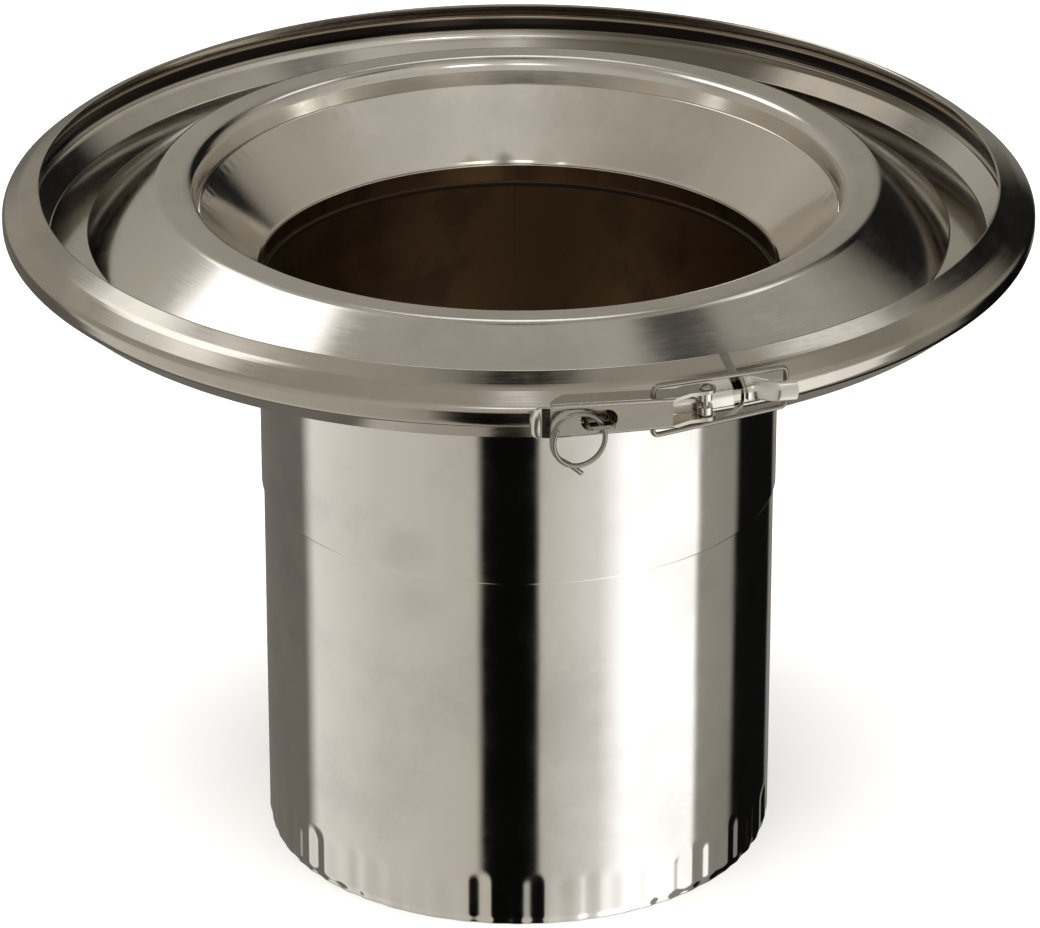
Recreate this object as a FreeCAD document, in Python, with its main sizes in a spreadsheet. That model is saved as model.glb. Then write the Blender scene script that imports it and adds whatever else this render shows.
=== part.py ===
import FreeCAD, Part
import math
import os
import Sketcher
from FreeCAD import Placement, Rotation, Vector

# Flue adaptor: a crimped 150 mm spigot and its collar hang from a pressed ring plate, which a
# V-section locking band with an over-centre latch clamps to a twin-wall flue.
# Frame: millimetres, +Z up, origin on the flue axis at the crimped end. Azimuth is counted from
# -Y (the front) towards +X. The latch is drawn in its own tangent frame: x runs along the band,
# y is minus the distance from the flue axis, and z is counted from the latch's mid-height.

DIMENSIONS = {
    "sheet": 0.6,
    "tube_radius": 75.0,
    "tube_top": 172.4,
    "crimp_length": 17.0,
    "crimp_count": 59,
    "crimp_depth": 0.35,
    "crimp_radius": 2.6,
    "collar_clearance": 0.05,
    "collar_bottom": 110.7,
    "collar_top": 177.7,
    "funnel_top_radius": 92.1,
    "funnel_top": 197.2,
    "lip_height": 205.4,
    "opening_radius": 92.2,
    "ridge_radius": 103.6,
    "ridge_drop": 0.8,
    "ridge_lip": 8.0,
    "cone_base_radius": 124.2,
    "cone_drop": 15.2,
    "trough_radius": 135.6,
    "trough_drop": 16.3,
    "rim_radius": 145.9,
    "rim_drop": 7.4,
    "wall_foot_radius": 141.3,
    "wall_foot_drop": 11.5,
    "wall_top_radius": 142.6,
    "wall_top_drop": 4.4,
    "band_sheet": 0.8,
    "band_lip_radius": 137.8,
    "band_radius": 148.75,
    "band_height": 18.9,
    "band_shoulder_radius": 143.2,
    "band_shoulder_drop": 3.0,
    "band_apex_top": 7.2,
    "band_apex_bottom": 11.4,
    "band_foot_radius": 139.8,
    "band_gap_start": 22.9,
    "band_gap_end": 24.0,
    "tongue_start": 20.4,
    "tongue_end": 26.8,
    "tongue_inset": 0.5,
    "tongue_top": 7.4,
    "tongue_top_lean": 0.25,
    "tongue_flat_top": 8.4,
    "tongue_flat_bottom": 10.4,
    "tongue_bottom": 11.6,
    "tongue_bottom_lean": 0.8,
    "latch_azimuth": 10.0,
    "latch_height": 198.5,
    "lever_sheet": 1.0,
    "lever_half": 4.4,
    "lever_left": 18.7,
    "lever_right": 14.1,
    "lever_face": 156.3,
    "shoulder_length": 5.4,
    "shoulder_rise": 0.5,
    "tab_root": 0.5,
    "tab_bend": 2.9,
    "tab_dip": 0.6,
    "tab_length": 5.9,
    "tab_lift": 0.7,
    "tab_narrowing": 0.8,
    "flange_edge": 149.3,
    "flange_reach": 2.0,
    "flange_chamfer": 2.4,
    "cut_room": 5.0,
    "ear_radius": 2.9,
    "pivot_along": 24.05,
    "pivot_out": 150.1,
    "pin_radius": 1.1,
    "pin_clearance": 0.07,
    "pin_head_ball": 2.6,
    "pin_head_sink": 1.65,
    "pin_end_gap": 0.08,
    "saddle_offset": 0.9,
    "core_offset": 0.48,
    "bracket_start": 14.6,
    "bracket_end": 22.6,
    "bracket_half": 3.2,
    "knuckle_radius": 2.05,
    "knuckle_length": 2.2,
    "knuckle_clearance": 0.02,
    "web_width": 1.4,
    "web_depth": 3.4,
    "web_start": 0.4,
    "catch_start": 24.3,
    "catch_end": 26.6,
    "catch_half": 2.6,
    "strap_start": 24.6,
    "strap_root": 0.5,
    "strap_bend": 5.6,
    "strap_end": 49.6,
    "strap_out": 146.9,
    "bail_along": 9.2,
    "bail_out": 153.3,
    "hook_along": 47.4,
    "hook_out": 143.7,
    "wire_radius": 0.72,
    "bail_half_wide": 7.2,
    "bail_half_narrow": 5.7,
    "bail_end_inset": 0.6,
    "slot_along": 5.85,
    "slot_length": 10.0,
    "slot_width": 5.3,
    "staple_radius": 0.6,
    "staple_out": 160.0,
    "staple_half": 3.45,
    "staple_level": -0.6,
    "staple_plate": 0.8,
    "cradle_half": 6.8,
    "cradle_wall": 5.5,
    "cradle_taper": 0.3,
    "cradle_depth": 4.4,
    "cradle_width": 5.8,
    "ring_radius": 7.3,
    "ring_wire": 0.68,
    "ring_turns": 1.27,
    "ring_pitch": 2.16,
    "ring_crossing": 28.0,
    "ring_start": 114.0,
    "ring_tilt": 8.0,
    "ring_hang_along": 0.35,
    "ring_hang_in": 1.8,
    "tail_out": 1.7,
    "tail_back": 5.2,
}

doc = FreeCAD.newDocument("flue_adaptor")
sheet = doc.addObject("Spreadsheet::Sheet", "Dims")
nodes = []


def fill_sheet():
    for row, (alias, value) in enumerate(DIMENSIONS.items(), start=1):
        sheet.set("A%d" % row, alias)
        sheet.set("B%d" % row, str(value))
        sheet.setAlias("B%d" % row, alias)
    doc.recompute()


def dim(alias):
    return float(sheet.get(alias))


def keep(obj, label):
    obj.Label = label
    nodes.append(obj)
    return obj


def solid_node(label, shape, placement=None):
    """A node whose shape is worked out here from the sheet's sizes."""
    obj = doc.addObject("Part::Feature", label)
    obj.Shape = shape
    if placement is not None:
        obj.Placement = placement.multiply(obj.Placement)
    return keep(obj, label)


def origin_plane(body, role):
    return [f for f in body.Origin.OriginFeatures if f.Role == role][0]


def new_body(label):
    return keep(doc.addObject("PartDesign::Body", label), label)


def new_sketch(body, name, role):
    sketch = body.newObject("Sketcher::SketchObject", name)
    sketch.AttachmentSupport = [(origin_plane(body, role), "")]
    sketch.MapMode = "FlatFace"
    return sketch


def bind(sketch, constraint, expression):
    index = sketch.addConstraint(constraint)
    sketch.setExpression("Constraints[%d]" % index, expression)


def circle(sketch, radius, x="0", y="0"):
    """A circle whose radius and centre follow expressions on the sheet."""
    shape = Part.Circle(Vector(value(x), value(y), 0), Vector(0, 0, 1), value(radius))
    geo = sketch.addGeometry(shape, False)
    bind(sketch, Sketcher.Constraint("Radius", geo, value(radius)), radius)
    place_point(sketch, geo, 3, x, y)


def value(expression):
    return float(FreeCAD.Units.Quantity(sheet.evalExpression(expression)).Value)


def place_point(sketch, geo, pos, x, y):
    for kind, expression in (("DistanceX", x), ("DistanceY", y)):
        if abs(value(expression)) < 1e-9:
            axis = -2 if kind == "DistanceX" else -1
            sketch.addConstraint(Sketcher.Constraint("PointOnObject", geo, pos, axis))
        else:
            rule = Sketcher.Constraint(kind, -1, 1, geo, pos, value(expression))
            bind(sketch, rule, expression)


def polygon(sketch, corners):
    """A closed outline whose corners follow pairs of expressions on the sheet."""
    count = len(corners)
    points = [Vector(value(x), value(y), 0) for x, y in corners]
    first = sketch.GeometryCount
    for i in range(count):
        sketch.addGeometry(Part.LineSegment(points[i], points[(i + 1) % count]), False)
    for i in range(count):
        end = Sketcher.Constraint("Coincident", first + i, 2, first + (i + 1) % count, 1)
        sketch.addConstraint(end)
        place_point(sketch, first + i, 1, *corners[i])


def pad(body, name, sketch, length, both_ways=False):
    feature = body.newObject("PartDesign::Pad", name)
    feature.Profile = sketch
    feature.Midplane = both_ways
    feature.setExpression("Length", length)
    return feature


def pocket(body, name, sketch, length, both_ways=False, reverse=False):
    feature = body.newObject("PartDesign::Pocket", name)
    feature.Profile = sketch
    feature.Midplane = both_ways
    feature.Reversed = reverse
    feature.setExpression("Length", length)
    return feature


def radial(radius, azimuth, height):
    angle = math.radians(azimuth)
    return Vector(radius * math.sin(angle), -radius * math.cos(angle), height)


def latch_placement():
    turn = Rotation(Vector(0, 0, 1), dim("latch_azimuth"))
    return Placement(Vector(0, 0, dim("latch_height")), turn)


def path_with_bends(points, radii):
    """Straight runs joined by tangent arcs; radii holds one bend radius per inner point."""
    edges = []
    start = points[0]
    for corner, after, radius in zip(points[1:-1], points[2:], radii):
        into = (corner - start).normalize()
        away = (after - corner).normalize()
        turn = into.getAngle(away)
        reach = radius * math.tan(turn / 2)
        bend_start = corner - into * reach
        bend_end = corner + away * reach
        inward = (away - into).normalize()
        middle = corner + inward * (radius / math.cos(turn / 2) - radius)
        edges.append(Part.LineSegment(start, bend_start).toShape())
        edges.append(Part.Arc(bend_start, middle, bend_end).toShape())
        start = bend_end
    edges.append(Part.LineSegment(start, points[-1]).toShape())
    return Part.Wire(edges)


def turned_sheet(stations, radii, thickness, azimuths=(0.0, 360.0)):
    """A sheet-metal section, given by its mid-line (radius, height), turned about the axis."""
    points = [Vector(r, 0, z) for r, z in stations]
    wire = path_with_bends(points, radii)
    face = wire.makeOffset2D(thickness / 2, 0, True, False, False)
    face.rotate(Vector(), Vector(0, 0, 1), azimuths[0] - 90)
    return face.revolve(Vector(), Vector(0, 0, 1), azimuths[1] - azimuths[0])


def pipe(wire, radius):
    start = wire.OrderedVertexes[0].Point
    direction = wire.OrderedEdges[0].tangentAt(wire.OrderedEdges[0].FirstParameter)
    profile = Part.Wire([Part.makeCircle(radius, start, direction)])
    return wire.makePipeShell([profile], True, True)


def spigot_tube():
    """150 mm tube; its end is crimped with shallow upright flutes."""
    body = new_body("spigot_tube")
    ring = new_sketch(body, "tube_ring", "XY_Plane")
    circle(ring, "Dims.tube_radius")
    circle(ring, "Dims.tube_radius - Dims.sheet")
    pad(body, "tube_pad", ring, "Dims.tube_top")
    doc.recompute()
    plain = body.Shape.Volume
    flute = new_sketch(body, "flute_round", "XY_Plane")
    circle(flute, "Dims.crimp_radius", "Dims.tube_radius + Dims.crimp_radius - Dims.crimp_depth")
    cut = pocket(body, "flute_cut", flute, "Dims.crimp_length", reverse=True)
    doc.recompute()
    if body.Shape.Volume >= plain:
        raise RuntimeError("the flute cuts nothing")
    pattern = body.newObject("PartDesign::PolarPattern", "flutes")
    pattern.Originals = [cut]
    pattern.Axis = (origin_plane(body, "Z_Axis"), [""])
    pattern.Angle = 360
    pattern.setExpression("Occurrences", "Dims.crimp_count")
    body.Tip = pattern


def collar_sleeve():
    """Sleeve round the top of the tube, welded to the funnel above."""
    body = new_body("collar_sleeve")
    ring = new_sketch(body, "collar_ring", "XY_Plane")
    ring.AttachmentOffset = Placement(Vector(0, 0, dim("collar_bottom")), Rotation())
    ring.setExpression("AttachmentOffset.Base.z", "Dims.collar_bottom")
    circle(ring, "Dims.tube_radius + Dims.collar_clearance")
    circle(ring, "Dims.tube_radius + Dims.collar_clearance + Dims.sheet")
    pad(body, "collar_pad", ring, "Dims.collar_top - Dims.collar_bottom")


def funnel_cone():
    """Cone from the ring plate's inner lip down to the collar."""
    body = new_body("funnel_cone")
    section = new_sketch(body, "funnel_section", "XZ_Plane")
    inner = "Dims.tube_radius + Dims.collar_clearance"
    polygon(section, [
        (inner, "Dims.collar_top"),
        (inner + " + Dims.sheet", "Dims.collar_top"),
        ("Dims.funnel_top_radius", "Dims.funnel_top - Dims.sheet"),
        ("Dims.funnel_top_radius", "Dims.funnel_top"),
        ("Dims.funnel_top_radius - Dims.sheet", "Dims.funnel_top"),
    ])
    turned = body.newObject("PartDesign::Revolution", "funnel_turn")
    turned.Profile = section
    turned.ReferenceAxis = (section, ["V_Axis"])
    turned.Angle = 360


def top_plate():
    """Pressed ring: inner lip, flat ridge, outer cone, trough, wall and clamping rim."""
    top = dim("lip_height")
    half = dim("sheet") / 2
    ridge = top - dim("ridge_drop") - half
    lip = dim("opening_radius") + half
    stations = [
        (lip, ridge - dim("ridge_lip")),
        (lip, ridge),
        (dim("ridge_radius"), ridge),
        (dim("cone_base_radius"), top - dim("cone_drop") - half),
        (dim("trough_radius"), top - dim("trough_drop") - half),
        (dim("wall_foot_radius"), top - dim("wall_foot_drop")),
        (dim("wall_top_radius"), top - dim("wall_top_drop")),
        (dim("rim_radius"), top - dim("rim_drop")),
    ]
    bends = [1.6, 2.4, 1.2, 1.2, 3.0, 0.9]
    solid_node("top_plate", turned_sheet(stations, bends, dim("sheet")))


def band_stations(offset=0.0):
    """Mid-line of the V-section band, or of a saddle that lies that far outside it."""
    top = dim("lip_height")
    half = dim("band_sheet") / 2
    apex = dim("band_radius") - half + offset
    low = top - dim("band_height") + half
    shoulder_step = 0.5 * offset
    apex_step = 0.3 * offset
    return [
        (dim("band_lip_radius") + half, top - half + offset),
        (dim("band_shoulder_radius") + shoulder_step, top - dim("band_shoulder_drop") + offset),
        (apex, top - dim("band_apex_top") + apex_step),
        (apex, top - dim("band_apex_bottom") - apex_step),
        (dim("band_foot_radius"), low - offset),
    ]


BAND_BENDS = [3.0, 2.6, 2.6]


def locking_band():
    """Springy V-section hoop, open at the latch."""
    span = (dim("band_gap_end"), 360.0 + dim("band_gap_start"))
    solid_node("locking_band", turned_sheet(band_stations(), BAND_BENDS, dim("band_sheet"), span))


def gap_tongue():
    """Strip inside the band's flat apex, fixed to one end; it guides the other across the gap."""
    top = dim("lip_height")
    radius = dim("band_radius") - dim("band_sheet") - dim("tongue_inset")
    stations = [
        (radius - dim("tongue_top_lean"), top - dim("tongue_top")),
        (radius, top - dim("tongue_flat_top")),
        (radius, top - dim("tongue_flat_bottom")),
        (radius - dim("tongue_bottom_lean"), top - dim("tongue_bottom")),
    ]
    span = (dim("tongue_start"), dim("tongue_end"))
    solid_node("gap_tongue", turned_sheet(stations, [0.8, 0.8], dim("sheet"), span))


def band_saddle(half_width, azimuths):
    """A plate that lies on the band's outside, cut to a width about the latch's mid-height."""
    stations = band_stations(dim("saddle_offset"))
    shell = turned_sheet(stations, BAND_BENDS, dim("band_sheet"), azimuths)
    slab_foot = Vector(0, 0, dim("latch_height") - half_width)
    slab = Part.makeCylinder(2 * dim("band_radius"), 2 * half_width, slab_foot)
    return shell.common(slab)


def lever_bracket():
    """Narrow tongue on the band whose two rolled knuckles hold the lever's pin."""
    half = dim("bracket_half")
    radius = dim("knuckle_radius")
    length = dim("knuckle_length")
    shape = band_saddle(half, (dim("bracket_start"), dim("bracket_end")))
    place = latch_placement()
    centre = Vector(dim("pivot_along"), -dim("pivot_out"), 0)
    web_corner = Vector(radius - dim("web_width"), -dim("web_start"), 0)
    for low in (-half, half - length):
        start = centre + Vector(0, 0, low)
        knuckle = Part.makeCylinder(radius, length, start)
        web = Part.makeBox(dim("web_width"), dim("web_depth"), length, start + web_corner)
        for piece in (knuckle, web):
            piece.Placement = place.multiply(piece.Placement)
        shape = shape.fuse([knuckle, web])
    hole_radius = dim("pin_radius") + dim("knuckle_clearance")
    hole = Part.makeCylinder(hole_radius, 4 * half, centre - Vector(0, 0, 2 * half))
    hole.Placement = place.multiply(hole.Placement)
    solid_node("lever_bracket", largest(shape.cut(hole).cut(band_core())))


def band_core():
    """Everything inside the band's outer face, with a little room."""
    stations = band_stations(dim("core_offset"))
    points = [Vector(r, 0, z) for r, z in stations]
    outline = path_with_bends(points, BAND_BENDS)
    inside = dim("cone_base_radius")
    ends = [points[-1], Vector(inside, 0, points[-1].z), Vector(inside, 0, points[0].z), points[0]]
    closed = Part.Wire(outline.Edges + Part.makePolygon(ends).Edges)
    return Part.Face(closed).revolve(Vector(), Vector(0, 0, 1), 360)


def largest(shape):
    return max(shape.Solids, key=lambda solid: solid.Volume)


def catch_hook():
    """Saddle on the band's other end; its strap stands off the band and covers the bail."""
    half = dim("catch_half")
    thickness = dim("band_sheet")
    saddle = band_saddle(half, (dim("catch_start"), dim("catch_end")))
    place = latch_placement()
    on_band = dim("band_radius") + dim("strap_root")
    start = math.radians(dim("strap_start") - dim("latch_azimuth"))
    end = dim("strap_end")
    out = dim("strap_out")
    points = [
        Vector(on_band * math.sin(start), -on_band * math.cos(start), 0),
        Vector(end - dim("strap_bend"), -out, 0),
        Vector(end, -out, 0),
    ]
    path = path_with_bends(points, [2.0])
    face = path.makeOffset2D(thickness / 2, 0, True, False, False)
    arm = face.extrude(Vector(0, 0, 2 * half))
    arm.translate(Vector(0, 0, -half))
    arm.Placement = place.multiply(arm.Placement)
    solid_node("catch_hook", largest(saddle.fuse(arm).cut(band_core())))


def latch_lever():
    """Pressed channel with two ears; a slot in its face takes the ring's staple."""
    body = new_body("latch_lever")
    body.Placement = latch_placement()
    left = "-Dims.lever_left"
    face = "-Dims.lever_face"
    edge = "-Dims.flange_edge"
    ear_top = "-(Dims.pivot_out + Dims.ear_radius)"
    plan = new_sketch(body, "lever_plan", "XY_Plane")
    polygon(plan, [
        (left, face),
        ("Dims.lever_right", face),
        ("Dims.lever_right + Dims.shoulder_length", ear_top + " - Dims.shoulder_rise"),
        ("Dims.pivot_along", ear_top),
        ("Dims.pivot_along", "-(Dims.pivot_out - Dims.ear_radius)"),
        ("Dims.lever_right + Dims.flange_reach", edge),
        (left + " + Dims.flange_chamfer", edge),
        (left, edge + " - Dims.flange_chamfer"),
    ])
    pad(body, "lever_block", plan, "2 * Dims.lever_half", both_ways=True)
    ear = new_sketch(body, "ear_round", "XY_Plane")
    circle(ear, "Dims.ear_radius", "Dims.pivot_along", "-Dims.pivot_out")
    pad(body, "ear_pad", ear, "2 * Dims.lever_half", both_ways=True)
    hollow = new_sketch(body, "lever_hollow", "XY_Plane")
    beyond_left = left + " - Dims.cut_room"
    beyond_right = "Dims.pivot_along + Dims.cut_room"
    beyond_face = face + " - Dims.cut_room"
    beyond_edge = "-Dims.pivot_out + Dims.cut_room"
    polygon(hollow, [
        (beyond_left, face + " + Dims.lever_sheet"),
        ("Dims.lever_right", face + " + Dims.lever_sheet"),
        ("Dims.lever_right", beyond_face),
        (beyond_right, beyond_face),
        (beyond_right, beyond_edge),
        (beyond_left, beyond_edge),
    ])
    pocket(body, "hollow_cut", hollow, "2 * (Dims.lever_half - Dims.lever_sheet)", both_ways=True)
    holes = new_sketch(body, "lever_holes", "XY_Plane")
    circle(holes, "Dims.pin_radius + Dims.pin_clearance", "Dims.pivot_along", "-Dims.pivot_out")
    circle(holes, "Dims.wire_radius + Dims.pin_clearance", "Dims.bail_along", "-Dims.bail_out")
    pocket(body, "hole_cut", holes, "4 * Dims.lever_half", both_ways=True)
    slot = new_sketch(body, "slot_outline", "XZ_Plane")
    half = "(Dims.slot_length - Dims.slot_width) / 2"
    polygon(slot, [
        ("-Dims.slot_along - " + half, "-Dims.slot_width / 2"),
        ("-Dims.slot_along + " + half, "-Dims.slot_width / 2"),
        ("-Dims.slot_along + " + half, "Dims.slot_width / 2"),
        ("-Dims.slot_along - " + half, "Dims.slot_width / 2"),
    ])
    doc.recompute()
    slot_ends(body, slot, half)
    tab = new_sketch(body, "tab_plan", "XY_Plane")
    back = face + " + Dims.lever_sheet"
    polygon(tab, [
        (left + " + Dims.tab_root", face),
        (left + " + Dims.tab_root", back),
        (left + " - Dims.tab_bend", back + " + Dims.tab_dip"),
        (left + " - Dims.tab_length", back + " - Dims.tab_lift"),
        (left + " - Dims.tab_length", face + " - Dims.tab_lift"),
        (left + " - Dims.tab_bend", face + " + Dims.tab_dip"),
    ])
    pad(body, "tab_pad", tab, "2 * Dims.lever_half - Dims.tab_narrowing", both_ways=True)


def slot_ends(body, slot, half):
    """Cuts the slot: a rectangle, then a round at each end, all through the face only."""
    before = body.Shape.Volume
    outlines = [slot]
    for name, sign in (("slot_round_low", " - "), ("slot_round_high", " + ")):
        end = new_sketch(body, name, "XZ_Plane")
        circle(end, "Dims.slot_width / 2", "-Dims.slot_along" + sign + half)
        outlines.append(end)
    for outline in outlines:
        pocket(body, outline.Name + "_cut", outline, "Dims.lever_face + Dims.cut_room", reverse=True)
    doc.recompute()
    if body.Shape.Volume >= before:
        raise RuntimeError("the slot cuts nothing")


def lever_pin():
    """Rivet through the ears and the knuckles, with a domed head at each end."""
    centre = Vector(dim("pivot_along"), -dim("pivot_out"), 0)
    half = dim("lever_half") + dim("pin_end_gap")
    shank = Part.makeCylinder(dim("pin_radius"), 2 * half, centre - Vector(0, 0, half))
    room = 4
    heads = []
    for side in (-1, 1):
        middle = centre + Vector(0, 0, side * (half - dim("pin_head_sink")))
        dome = Part.makeSphere(dim("pin_head_ball"), middle)
        corner = Vector(-room, -room, half if side > 0 else -half - room)
        heads.append(dome.common(Part.makeBox(2 * room, 2 * room, room, centre + corner)))
    solid_node("lever_pin", shank.fuse(heads).removeSplitter(), latch_placement())


def bail_wire():
    """Wire loop from the lever's flanges to the catch, wider at the lever."""
    wide = dim("bail_half_wide")
    narrow = dim("bail_half_narrow")
    pivot = Vector(dim("bail_along"), -dim("bail_out"), 0)
    hook = Vector(dim("hook_along"), -dim("hook_out"), 0)
    inner = dim("lever_half") - dim("lever_sheet") - dim("bail_end_inset")
    points = []
    for side in (1, -1):
        leg = [pivot + Vector(0, 0, side * inner), pivot + Vector(0, 0, side * wide),
               hook + Vector(0, 0, side * narrow)]
        points += leg if side > 0 else leg[::-1]
    path = path_with_bends(points, [1.7, 1.5, 1.5, 1.7])
    solid_node("bail_wire", pipe(path, dim("wire_radius")), latch_placement())


def ring_staple():
    """Wire staple out through the lever's slot, rooted in a pressed cradle behind the face."""
    face_back = dim("lever_face") - dim("lever_sheet")
    thickness = dim("staple_plate")
    width = dim("cradle_width")
    middle = -dim("slot_along")
    foot = -face_back + thickness / 2
    floor = foot + dim("cradle_depth")
    level = dim("staple_level")
    legs = [middle + side * dim("staple_half") for side in (-1, 1)]
    points = [Vector(legs[0], floor, level), Vector(legs[0], -dim("staple_out"), level),
              Vector(legs[1], -dim("staple_out"), level), Vector(legs[1], floor, level)]
    loop = pipe(path_with_bends(points, [1.1, 1.1]), dim("staple_radius"))
    reach = dim("cradle_half")
    wall = dim("cradle_wall")
    base = wall - dim("cradle_taper")
    outline = [Vector(middle - reach, foot, 0), Vector(middle - wall, foot, 0),
               Vector(middle - base, floor, 0), Vector(middle + base, floor, 0),
               Vector(middle + wall, foot, 0), Vector(middle + reach, foot, 0)]
    strip = path_with_bends(outline, [0.5, 0.8, 0.8, 0.5])
    cradle = strip.makeOffset2D(thickness / 2, 0, True, False, False).extrude(Vector(0, 0, width))
    cradle.translate(Vector(0, 0, -width / 2))
    solid_node("ring_staple", loop.fuse(cradle).removeSplitter(), latch_placement())


def safety_ring():
    """Split ring of a turn and a quarter, threaded behind the staple, with a bent tail."""
    radius = dim("ring_radius")
    wire = dim("ring_wire")
    crossing = math.radians(dim("ring_crossing"))
    pitch = dim("ring_pitch") * wire
    helix = Part.makeHelix(pitch, pitch * dim("ring_turns"), radius)
    ring = pipe(helix, wire)
    tail_start = Vector(radius, 0, 0)
    tail_end = tail_start + Vector(dim("tail_out"), -dim("tail_back"), 0)
    run = tail_end - tail_start
    tail = Part.makeCylinder(wire, run.Length, tail_start, run)
    ring = ring.fuse([tail, Part.makeSphere(wire, tail_start)]).mirror(Vector(), Vector(1, 0, 0))
    spin = Placement(Vector(), Rotation(Vector(0, 0, 1), 180 - dim("ring_start")))
    level = -pitch * (360 - dim("ring_start") - dim("ring_crossing")) / 360
    lift = Placement(Vector(0, 0, level), Rotation())
    stand = Placement(Vector(), Rotation(Vector(1, 0, 0), 90))
    swing = Placement(Vector(), Rotation(Vector(0, 0, 1), dim("ring_tilt")))
    along = dim("ring_hang_along") - dim("slot_along")
    point = Vector(along, dim("ring_hang_in") - dim("staple_out"), dim("staple_level"))
    centre_shift = Vector(-radius * math.cos(crossing), 0, -radius * math.sin(crossing))
    flat = stand.multiply(lift).multiply(spin)
    placed = Placement(point, Rotation()).multiply(swing).multiply(Placement(centre_shift, Rotation()))
    solid_node("safety_ring", ring, latch_placement().multiply(placed).multiply(flat))


def check_and_export():
    doc.recompute()
    for obj in doc.Objects:
        if "Invalid" in obj.State or "Error" in obj.State:
            raise RuntimeError("failed object: " + obj.Label)
    os.makedirs("parts", exist_ok=True)
    for obj in nodes:
        shape = obj.Shape
        if shape.isNull() or not shape.isValid() or not shape.Solids:
            raise RuntimeError("bad shape: " + obj.Label)
        shape.exportStep("parts/%s.step" % obj.Label)
        box = shape.BoundBox
        print("%-14s solids %d volume %9.1f  x %.1f %.1f  y %.1f %.1f  z %.1f %.1f" % (
            obj.Label, len(shape.Solids), shape.Volume,
            box.XMin, box.XMax, box.YMin, box.YMax, box.ZMin, box.ZMax))


fill_sheet()
for make in (spigot_tube, collar_sleeve, funnel_cone, top_plate, locking_band, gap_tongue, lever_bracket,
             catch_hook, latch_lever, lever_pin, bail_wire, ring_staple, safety_ring):
    make()
check_and_export()
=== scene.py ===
"""Looks of the flue adaptor: lathe-turned sheet metal, a crimped spigot and the over-centre latch.

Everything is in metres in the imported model's frame: +Z up, the flue axis at the origin, -Y the front.
Azimuths are in degrees, counted from the front towards +X. The latch is drawn in its own tangent frame:
(along the band, distance out from the flue axis, height above the latch's middle).
"""
import math
import random

import bmesh
import bpy
from mathutils import Euler, Matrix, Vector


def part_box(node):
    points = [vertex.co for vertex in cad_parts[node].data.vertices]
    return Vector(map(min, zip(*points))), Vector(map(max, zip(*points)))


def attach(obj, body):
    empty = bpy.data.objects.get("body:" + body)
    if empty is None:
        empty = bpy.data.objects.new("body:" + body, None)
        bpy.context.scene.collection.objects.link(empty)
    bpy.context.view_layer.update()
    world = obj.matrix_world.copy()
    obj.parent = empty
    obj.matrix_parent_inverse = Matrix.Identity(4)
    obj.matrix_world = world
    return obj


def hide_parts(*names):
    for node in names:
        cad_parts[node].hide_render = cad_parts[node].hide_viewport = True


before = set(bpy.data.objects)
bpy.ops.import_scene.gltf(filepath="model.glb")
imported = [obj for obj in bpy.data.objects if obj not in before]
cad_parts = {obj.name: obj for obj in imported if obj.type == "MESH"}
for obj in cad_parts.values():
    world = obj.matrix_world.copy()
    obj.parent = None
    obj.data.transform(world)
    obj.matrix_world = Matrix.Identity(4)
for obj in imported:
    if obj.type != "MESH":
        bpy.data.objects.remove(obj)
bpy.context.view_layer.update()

MM = 0.001
scene = bpy.context.scene

# Driving sizes, in millimetres, as in the part.
SHEET = 0.6
TUBE_R = 75.0
TUBE_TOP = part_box("spigot_tube")[1].z / MM
COLLAR_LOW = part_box("collar_sleeve")[0].z / MM
COLLAR_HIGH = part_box("collar_sleeve")[1].z / MM
COLLAR_GAP = 0.05
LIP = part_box("locking_band")[1].z / MM
BAND_SHEET = 0.8
BAND_R = 148.7
BAND_LIP_R = 137.8
BAND_HEIGHT = 18.9
CRIMP_LENGTH = 17.0
CRIMP_COUNT = 59
LATCH_AZ = 10.0
LATCH_Z = 198.5
PIVOT = (24.05, 150.1)
BAIL_PIVOT = (9.2, 153.3)
HOOK = (47.4, 143.7)
WIRE_R = 0.72
LEVER_FACE = 156.3
LEVER_HALF = 4.4
LEVER_SHEET = 1.0
FLANGE_EDGE = 149.3
LEVER_LEFT = -18.7
LEVER_RIGHT = 14.1
LEVER_FLARE = 0.55
SLOT_ALONG = -5.85
STAPLE_OUT = 160.0
STAPLE_HEIGHT = -0.6
STRAP_START = 24.6
STRAP_OUT = 146.9
STRAP_END = 49.6
STRAP_CROWN = 0.9
CATCH_HALF = 2.6
TUBE_SEAM = 181.0
TONGUE_SPAN = (20.4, 26.8)
BAND_SPAN = (24.0, 382.9)
BAND_BENDS = [9.0, 2.6, 2.6]


# ---------------------------------------------------------------- geometry helpers

def finish_mesh(bm, name, sharp=35.0):
    bmesh.ops.recalc_face_normals(bm, faces=bm.faces)
    mesh = bpy.data.meshes.new(name)
    bm.to_mesh(mesh)
    bm.free()
    for polygon in mesh.polygons:
        polygon.use_smooth = True
    mesh.set_sharp_from_angle(angle=math.radians(sharp))
    obj = bpy.data.objects.new(name, mesh)
    scene.collection.objects.link(obj)
    return obj


def settle(obj, body, node, material):
    """Gives a piece its body and its material, and hides the CAD node it stands for."""
    obj.data.materials.clear()
    obj.data.materials.append(material)
    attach(obj, body)
    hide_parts(node)
    return obj


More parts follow.
